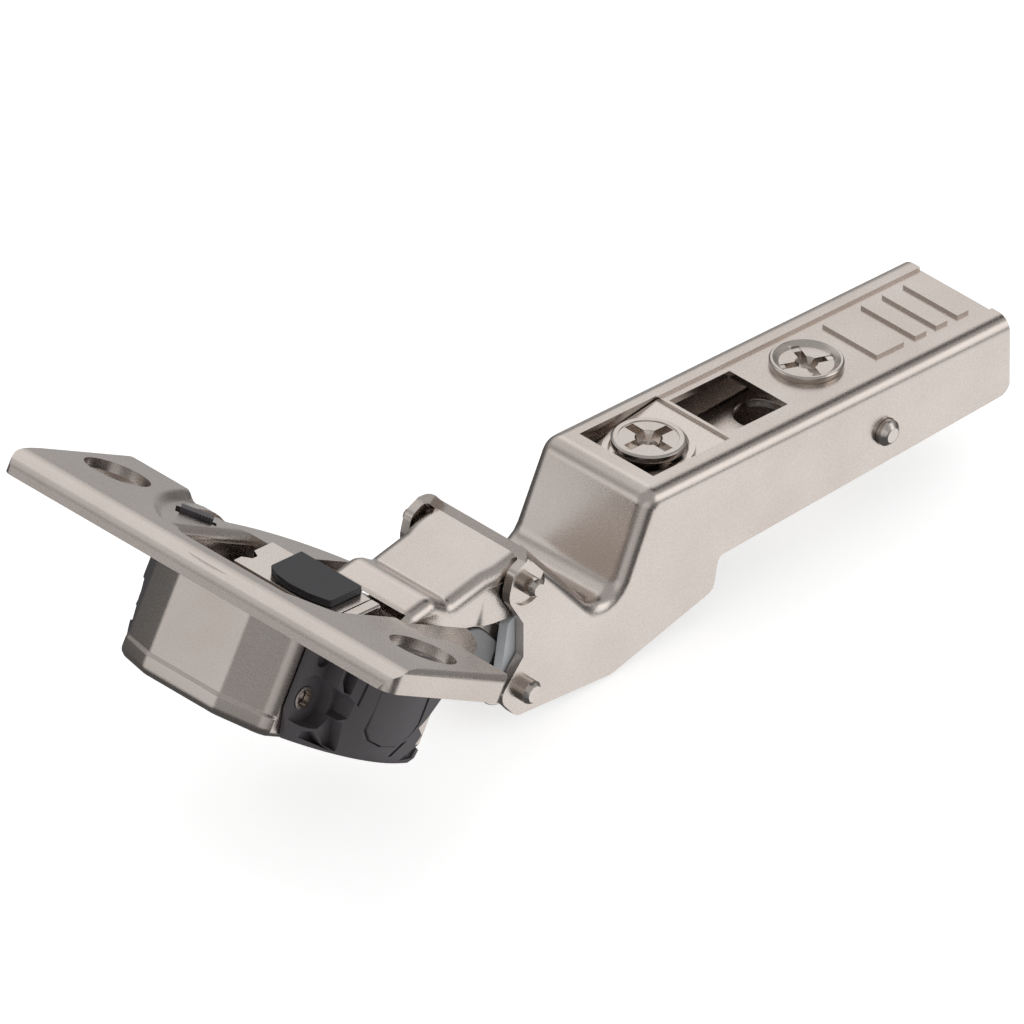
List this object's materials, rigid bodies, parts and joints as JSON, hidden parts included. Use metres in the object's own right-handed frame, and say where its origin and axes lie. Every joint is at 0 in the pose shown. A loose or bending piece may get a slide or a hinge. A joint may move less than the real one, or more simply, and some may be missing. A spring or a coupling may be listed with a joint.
{
  "type": "concealed cup hinge",
  "caption": "Concealed cabinet hinge for an acute corner door: stepped clip arm, two hidden levers and a damped drawn cup with a slotted flange, open.",
  "frame": {"origin": "middle of the clip carrier's seat, on the underside of its folded base tab, in the hinge's middle plane", "axes": "+X back along the arm away from the cup, +Y across the hinge along its pins, +Z away from the seat, out of the cabinet side"},
  "size_m": [0.1152, 0.057, 0.0358],
  "materials": {
    "nickel_steel": "satin nickel plate",
    "spring_wire": "plain drawn wire",
    "dark_plastic": "fine matt moulding",
    "switch_plastic": "fine matt moulding",
    "grey_plastic": "smooth moulding",
    "light_plastic": "smooth moulding"
  },
  "bodies": {
    "carrier": {"clip_carrier": "nickel_steel", "lever_pin": "nickel_steel", "clip_spring": "spring_wire"},
    "clip": {"clip_lever": "nickel_steel"},
    "slide_pin": {"rear_pin": "nickel_steel"},
    "arm_body": {"arm": "nickel_steel", "upper_arm_pin": "nickel_steel", "lower_arm_pin": "nickel_steel", "spring_shell": "light_plastic"},
    "tilt_screw": {"front_screw": "nickel_steel"},
    "depth_cam": {"rear_screw": "nickel_steel"},
    "outer": {"outer_lever": "nickel_steel"},
    "cup": {"hinge_cup": "nickel_steel", "outer_rivets": "nickel_steel", "inner_pin": "nickel_steel", "damper_housing_left": "dark_plastic", "damper_housing_right": "dark_plastic", "damper_cover_left": "dark_plastic", "damper_cover_right": "dark_plastic", "damper_rivets": "nickel_steel"},
    "inner": {"inner_lever": "nickel_steel", "lever_pad": "grey_plastic"},
    "flap": {"damper_flap": "nickel_steel"},
    "switch": {"soft_close_switch": "switch_plastic"}
  },
  "joints": [
    {"name": "depth_slide", "type": "slide", "parent": "carrier", "child": "slide_pin", "axis": [1, 0, 0], "range_m": [-0.002, 0.003]},
    {"name": "side_tilt", "type": "hinge", "parent": "slide_pin", "child": "arm_body", "pos_m": [0.0045, 0, 0.0054], "axis": [0, 1, 0], "range_deg": [-2, 2]},
    {"name": "tilt_screw_turn", "type": "hinge", "parent": "arm_body", "child": "tilt_screw", "pos_m": [-0.0226, 0, 0.01385], "axis": [0.0728, 0, 0.9973], "range_deg": [-450, 450]},
    {"name": "depth_cam_turn", "type": "hinge", "parent": "arm_body", "child": "depth_cam", "pos_m": [0.0009, 0, 0.01213], "axis": [0.0728, 0, 0.9973], "range_deg": [-150, 220]},
    {"name": "outer_swing", "type": "hinge", "parent": "arm_body", "child": "outer", "pos_m": [-0.0485, 0, 0.01235], "axis": [0, 1, 0], "range_deg": [0, 7]},
    {"name": "door_swing", "type": "hinge", "parent": "outer", "child": "cup", "pos_m": [-0.0682, 0, 0.01015], "axis": [0, 1, 0], "range_deg": [0, 98.1]},
    {"name": "inner_swing", "type": "hinge", "parent": "cup", "child": "inner", "pos_m": [-0.07312, 0, 0.01019], "axis": [0, 1, 0], "range_deg": [-84, 0]},
    {"name": "flap_push", "type": "hinge", "parent": "cup", "child": "flap", "pos_m": [-0.0682, 0, 0.01015], "axis": [0, 1, 0], "range_deg": [-25.2, 0]},
    {"name": "switch_slide", "type": "slide", "parent": "flap", "child": "switch", "axis": [0, 1, 0], "range_m": [0, 0.002]},
    {"name": "clip_release", "type": "hinge", "parent": "carrier", "child": "clip", "pos_m": [0.014, 0, 0.0048], "axis": [0, -1, 0], "range_deg": [0, 12], "stiffness_Nm_per_rad": 0.05}
  ],
  "couplings": [
    {"joint": "depth_cam_turn", "follows": "depth_slide", "rad_per_m": 1257},
    {"joint": "tilt_screw_turn", "follows": "side_tilt", "ratio": 213},
    {"joint": "outer_swing", "follows": "door_swing", "ratio": 0.070336},
    {"joint": "inner_swing", "follows": "door_swing", "ratio": -0.85321},
    {"joint": "flap_push", "follows": "door_swing", "ratio": -0.25484}
  ]
}
